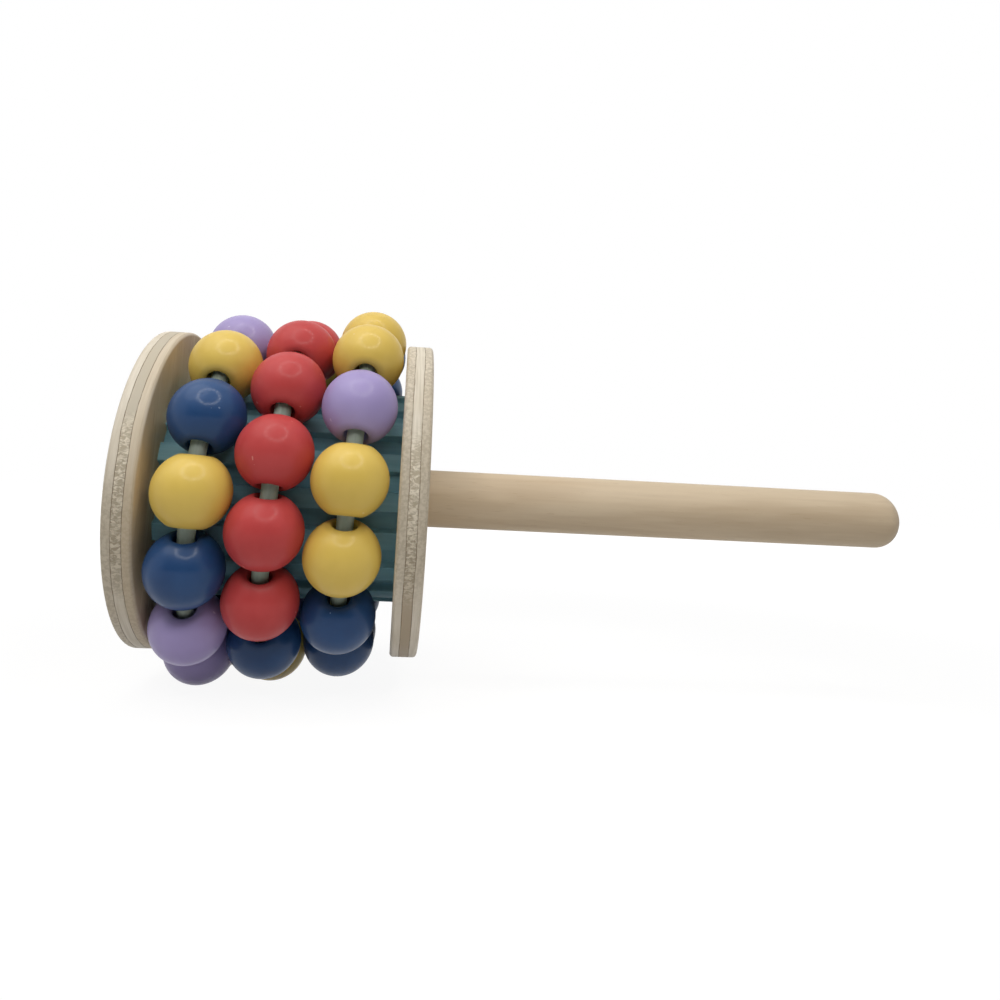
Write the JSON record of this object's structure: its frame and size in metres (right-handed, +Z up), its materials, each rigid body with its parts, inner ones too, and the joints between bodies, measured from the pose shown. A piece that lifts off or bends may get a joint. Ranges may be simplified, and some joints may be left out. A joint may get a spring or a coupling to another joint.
{
  "type": "bead roller push toy",
  "caption": "Wooden push toy: a ribbed drum between plywood discs spins on a dowel handle, and nested rows of painted beads on loose cord loops roll round the drum.",
  "frame": {"origin": "on the floor that the beads rest on, below the middle of the part's length and width", "axes": "+X along the handle to its domed tip, +Z up, -Y towards the side that the picture shows"},
  "size_m": [0.272, 0.1297, 0.1315],
  "materials": {
    "yellow_paint": "satin paint",
    "red_paint": "satin paint",
    "blue_paint": "satin paint",
    "purple_paint": "satin paint",
    "teal_paint": "matt paint",
    "plywood": "sanded, clear matt oil",
    "beech": "sanded, clear matt oil",
    "cord": "milky, slightly see-through",
    "steel": "zinc plated"
  },
  "bodies": {
    "handle": {"handle": "beech", "axle": "beech", "retaining_washer": "steel", "retaining_screw": "steel"},
    "roller": {"drum": "teal_paint", "near_disc": "plywood", "far_disc": "plywood", "hub_plug": "beech"},
    "row_left": {"cord_left": "cord"},
    "row_middle": {"cord_middle": "cord"},
    "row_right": {"cord_right": "cord"},
    "bead_left_01": {"bead_left_01": "yellow_paint"},
    "bead_left_02": {"bead_left_02": "blue_paint"},
    "bead_left_03": {"bead_left_03": "purple_paint"},
    "bead_left_04": {"bead_left_04": "purple_paint"},
    "bead_left_05": {"bead_left_05": "yellow_paint"},
    "bead_left_06": {"bead_left_06": "blue_paint"},
    "bead_left_07": {"bead_left_07": "red_paint"},
    "bead_left_08": {"bead_left_08": "yellow_paint"},
    "bead_left_09": {"bead_left_09": "purple_paint"},
    "bead_left_10": {"bead_left_10": "blue_paint"},
    "bead_left_11": {"bead_left_11": "yellow_paint"},
    "bead_left_12": {"bead_left_12": "purple_paint"},
    "bead_left_13": {"bead_left_13": "yellow_paint"},
    "bead_left_14": {"bead_left_14": "blue_paint"},
    "bead_middle_01": {"bead_middle_01": "red_paint"},
    "bead_middle_02": {"bead_middle_02": "red_paint"},
    "bead_middle_03": {"bead_middle_03": "red_paint"},
    "bead_middle_04": {"bead_middle_04": "blue_paint"},
    "bead_middle_05": {"bead_middle_05": "yellow_paint"},
    "bead_middle_06": {"bead_middle_06": "purple_paint"},
    "bead_middle_07": {"bead_middle_07": "blue_paint"},
    "bead_middle_08": {"bead_middle_08": "yellow_paint"},
    "bead_middle_09": {"bead_middle_09": "blue_paint"},
    "bead_middle_10": {"bead_middle_10": "purple_paint"},
    "bead_middle_11": {"bead_middle_11": "yellow_paint"},
    "bead_middle_12": {"bead_middle_12": "red_paint"},
    "bead_middle_13": {"bead_middle_13": "red_paint"},
    "bead_middle_14": {"bead_middle_14": "red_paint"},
    "bead_right_01": {"bead_right_01": "yellow_paint"},
    "bead_right_02": {"bead_right_02": "yellow_paint"},
    "bead_right_03": {"bead_right_03": "blue_paint"},
    "bead_right_04": {"bead_right_04": "blue_paint"},
    "bead_right_05": {"bead_right_05": "blue_paint"},
    "bead_right_06": {"bead_right_06": "blue_paint"},
    "bead_right_07": {"bead_right_07": "purple_paint"},
    "bead_right_08": {"bead_right_08": "red_paint"},
    "bead_right_09": {"bead_right_09": "yellow_paint"},
    "bead_right_10": {"bead_right_10": "blue_paint"},
    "bead_right_11": {"bead_right_11": "blue_paint"},
    "bead_right_12": {"bead_right_12": "yellow_paint"},
    "bead_right_13": {"bead_right_13": "yellow_paint"},
    "bead_right_14": {"bead_right_14": "purple_paint"}
  },
  "joints": [
    {"name": "roller_spin", "type": "hinge", "parent": "handle", "child": "roller", "pos_m": [-0.08915, -0.00307, 0.06553], "axis": [1, 0, 0], "continuous": true},
    {"name": "row_left_turn", "type": "hinge", "parent": "handle", "child": "row_left", "pos_m": [-0.11213, 0.00016, 0.06366], "axis": [0.9988, 0, -0.048], "continuous": true},
    {"name": "row_middle_turn", "type": "hinge", "parent": "handle", "child": "row_middle", "pos_m": [-0.08982, 0.00056, 0.06463], "axis": [0.9988, 0, -0.048], "continuous": true},
    {"name": "row_right_turn", "type": "hinge", "parent": "handle", "child": "row_right", "pos_m": [-0.06617, -0.00021, 0.06794], "axis": [0.9988, 0, -0.048], "continuous": true},
    {"name": "bead_left_01_spin", "type": "hinge", "parent": "row_left", "child": "bead_left_01", "pos_m": [-0.11208, -0.05253, 0.06467], "axis": [0.048, 0.0192, 0.9987], "continuous": true},
    {"name": "bead_left_02_spin", "type": "hinge", "parent": "row_left", "child": "bead_left_02", "pos_m": [-0.11318, -0.04775, 0.04174], "axis": [0.0436, -0.4165, 0.9081], "continuous": true},
    {"name": "bead_left_03_spin", "type": "hinge", "parent": "row_left", "child": "bead_left_03", "pos_m": [-0.11407, -0.03348, 0.02315], "axis": [0.0306, -0.7697, 0.6376], "continuous": true},
    {"name": "bead_left_04_spin", "type": "hinge", "parent": "row_left", "child": "bead_left_04", "pos_m": [-0.11458, -0.01255, 0.01258], "axis": [0.0116, -0.9705, 0.2409], "continuous": true},
    {"name": "bead_left_05_spin", "type": "hinge", "parent": "row_left", "child": "bead_left_05", "pos_m": [-0.1146, 0.0109, 0.01213], "axis": [-0.0098, -0.979, -0.2035], "continuous": true},
    {"name": "bead_left_06_spin", "type": "hinge", "parent": "row_left", "child": "bead_left_06", "pos_m": [-0.11414, 0.03223, 0.02189], "axis": [-0.0292, -0.7937, -0.6077], "continuous": true},
    {"name": "bead_left_07_spin", "type": "hinge", "parent": "row_left", "child": "bead_left_07", "pos_m": [-0.11327, 0.0472, 0.03992], "axis": [-0.0428, -0.4511, -0.8914], "continuous": true},
    {"name": "bead_left_08_spin", "type": "hinge", "parent": "row_left", "child": "bead_left_08", "pos_m": [-0.11218, 0.05285, 0.06265], "axis": [-0.048, -0.0192, -0.9987], "continuous": true},
    {"name": "bead_left_09_spin", "type": "hinge", "parent": "row_left", "child": "bead_left_09", "pos_m": [-0.11108, 0.04808, 0.08559], "axis": [-0.0436, 0.4165, -0.9081], "continuous": true},
    {"name": "bead_left_10_spin", "type": "hinge", "parent": "row_left", "child": "bead_left_10", "pos_m": [-0.11018, 0.03381, 0.10418], "axis": [-0.0306, 0.7697, -0.6376], "continuous": true},
    {"name": "bead_left_11_spin", "type": "hinge", "parent": "row_left", "child": "bead_left_11", "pos_m": [-0.10967, 0.01288, 0.11475], "axis": [-0.0116, 0.9705, -0.2409], "continuous": true},
    {"name": "bead_left_12_spin", "type": "hinge", "parent": "row_left", "child": "bead_left_12", "pos_m": [-0.10965, -0.01057, 0.1152], "axis": [0.0098, 0.979, 0.2035], "continuous": true},
    {"name": "bead_left_13_spin", "type": "hinge", "parent": "row_left", "child": "bead_left_13", "pos_m": [-0.11012, -0.0319, 0.10544], "axis": [0.0292, 0.7937, 0.6077], "continuous": true},
    {"name": "bead_left_14_spin", "type": "hinge", "parent": "row_left", "child": "bead_left_14", "pos_m": [-0.11099, -0.04687, 0.08741], "axis": [0.0428, 0.4511, 0.8914], "continuous": true},
    {"name": "bead_middle_01_spin", "type": "hinge", "parent": "row_middle", "child": "bead_middle_01", "pos_m": [-0.08921, -0.05058, 0.07736], "axis": [0.0466, 0.2419, 0.9692], "continuous": true},
    {"name": "bead_middle_02_spin", "type": "hinge", "parent": "row_middle", "child": "bead_middle_02", "pos_m": [-0.09034, -0.05105, 0.05394], "axis": [0.047, -0.203, 0.978], "continuous": true},
    {"name": "bead_middle_03_spin", "type": "hinge", "parent": "row_middle", "child": "bead_middle_03", "pos_m": [-0.09136, -0.04129, 0.03264], "axis": [0.0381, -0.6078, 0.7932], "continuous": true},
    {"name": "bead_middle_04_spin", "type": "hinge", "parent": "row_middle", "child": "bead_middle_04", "pos_m": [-0.09208, -0.02325, 0.01767], "axis": [0.0217, -0.8921, 0.4512], "continuous": true},
    {"name": "bead_middle_05_spin", "type": "hinge", "parent": "row_middle", "child": "bead_middle_05", "pos_m": [-0.09235, -0.0005, 0.012], "axis": [0.001, -0.9998, 0.0199], "continuous": true},
    {"name": "bead_middle_06_spin", "type": "hinge", "parent": "row_middle", "child": "bead_middle_06", "pos_m": [-0.09212, 0.02247, 0.01676], "axis": [-0.02, -0.9094, -0.4153], "continuous": true},
    {"name": "bead_middle_07_spin", "type": "hinge", "parent": "row_middle", "child": "bead_middle_07", "pos_m": [-0.09144, 0.04109, 0.03099], "axis": [-0.0369, -0.639, -0.7684], "continuous": true},
    {"name": "bead_middle_08_spin", "type": "hinge", "parent": "row_middle", "child": "bead_middle_08", "pos_m": [-0.09044, 0.05169, 0.05189], "axis": [-0.0466, -0.2419, -0.9692], "continuous": true},
    {"name": "bead_middle_09_spin", "type": "hinge", "parent": "row_middle", "child": "bead_middle_09", "pos_m": [-0.08931, 0.05216, 0.07532], "axis": [-0.047, 0.203, -0.978], "continuous": true},
    {"name": "bead_middle_10_spin", "type": "hinge", "parent": "row_middle", "child": "bead_middle_10", "pos_m": [-0.08829, 0.0424, 0.09662], "axis": [-0.0381, 0.6078, -0.7932], "continuous": true},
    {"name": "bead_middle_11_spin", "type": "hinge", "parent": "row_middle", "child": "bead_middle_11", "pos_m": [-0.08757, 0.02436, 0.11159], "axis": [-0.0217, 0.8921, -0.4512], "continuous": true},
    {"name": "bead_middle_12_spin", "type": "hinge", "parent": "row_middle", "child": "bead_middle_12", "pos_m": [-0.0873, 0.00161, 0.11726], "axis": [-0.001, 0.9998, -0.0199], "continuous": true},
    {"name": "bead_middle_13_spin", "type": "hinge", "parent": "row_middle", "child": "bead_middle_13", "pos_m": [-0.08753, -0.02136, 0.1125], "axis": [0.02, 0.9094, 0.4153], "continuous": true},
    {"name": "bead_middle_14_spin", "type": "hinge", "parent": "row_middle", "child": "bead_middle_14", "pos_m": [-0.08821, -0.03998, 0.09826], "axis": [0.0369, 0.639, 0.7684], "continuous": true},
    {"name": "bead_right_01_spin", "type": "hinge", "parent": "row_right", "child": "bead_right_01", "pos_m": [-0.06606, -0.05285, 0.07032], "axis": [0.0479, 0.0454, 0.9978], "continuous": true},
    {"name": "bead_right_02_spin", "type": "hinge", "parent": "row_right", "child": "bead_right_02", "pos_m": [-0.06716, -0.04868, 0.04727], "axis": [0.0441, -0.3926, 0.9187], "continuous": true},
    {"name": "bead_right_03_spin", "type": "hinge", "parent": "row_right", "child": "bead_right_03", "pos_m": [-0.06807, -0.0349, 0.02831], "axis": [0.0316, -0.7527, 0.6576], "continuous": true},
    {"name": "bead_right_04_spin", "type": "hinge", "parent": "row_right", "child": "bead_right_04", "pos_m": [-0.06861, -0.01426, 0.0172], "axis": [0.0128, -0.9638, 0.2662], "continuous": true},
    {"name": "bead_right_05_spin", "type": "hinge", "parent": "row_right", "child": "bead_right_05", "pos_m": [-0.06866, 0.00918, 0.01614], "axis": [-0.0085, -0.984, -0.1779], "continuous": true},
    {"name": "bead_right_06_spin", "type": "hinge", "parent": "row_right", "child": "bead_right_06", "pos_m": [-0.06822, 0.03075, 0.02534], "axis": [-0.0282, -0.8093, -0.5867], "continuous": true},
    {"name": "bead_right_07_spin", "type": "hinge", "parent": "row_right", "child": "bead_right_07", "pos_m": [-0.06737, 0.04619, 0.04297], "axis": [-0.0422, -0.4743, -0.8793], "continuous": true},
    {"name": "bead_right_08_spin", "type": "hinge", "parent": "row_right", "child": "bead_right_08", "pos_m": [-0.06629, 0.05244, 0.06555], "axis": [-0.0479, -0.0454, -0.9978], "continuous": true},
    {"name": "bead_right_09_spin", "type": "hinge", "parent": "row_right", "child": "bead_right_09", "pos_m": [-0.06518, 0.04826, 0.0886], "axis": [-0.0441, 0.3926, -0.9187], "continuous": true},
    {"name": "bead_right_10_spin", "type": "hinge", "parent": "row_right", "child": "bead_right_10", "pos_m": [-0.06427, 0.03448, 0.10756], "axis": [-0.0316, 0.7527, -0.6576], "continuous": true},
    {"name": "bead_right_11_spin", "type": "hinge", "parent": "row_right", "child": "bead_right_11", "pos_m": [-0.06373, 0.01384, 0.11867], "axis": [-0.0128, 0.9638, -0.2662], "continuous": true},
    {"name": "bead_right_12_spin", "type": "hinge", "parent": "row_right", "child": "bead_right_12", "pos_m": [-0.06368, -0.00959, 0.11973], "axis": [0.0085, 0.984, 0.1779], "continuous": true},
    {"name": "bead_right_13_spin", "type": "hinge", "parent": "row_right", "child": "bead_right_13", "pos_m": [-0.06413, -0.03116, 0.11054], "axis": [0.0282, 0.8093, 0.5867], "continuous": true},
    {"name": "bead_right_14_spin", "type": "hinge", "parent": "row_right", "child": "bead_right_14", "pos_m": [-0.06497, -0.0466, 0.0929], "axis": [0.0422, 0.4743, 0.8793], "continuous": true}
  ],
  "couplings": [
    {"joint": "row_left_turn", "follows": "row_middle_turn", "ratio": 1},
    {"joint": "row_right_turn", "follows": "row_middle_turn", "ratio": 1}
  ]
}
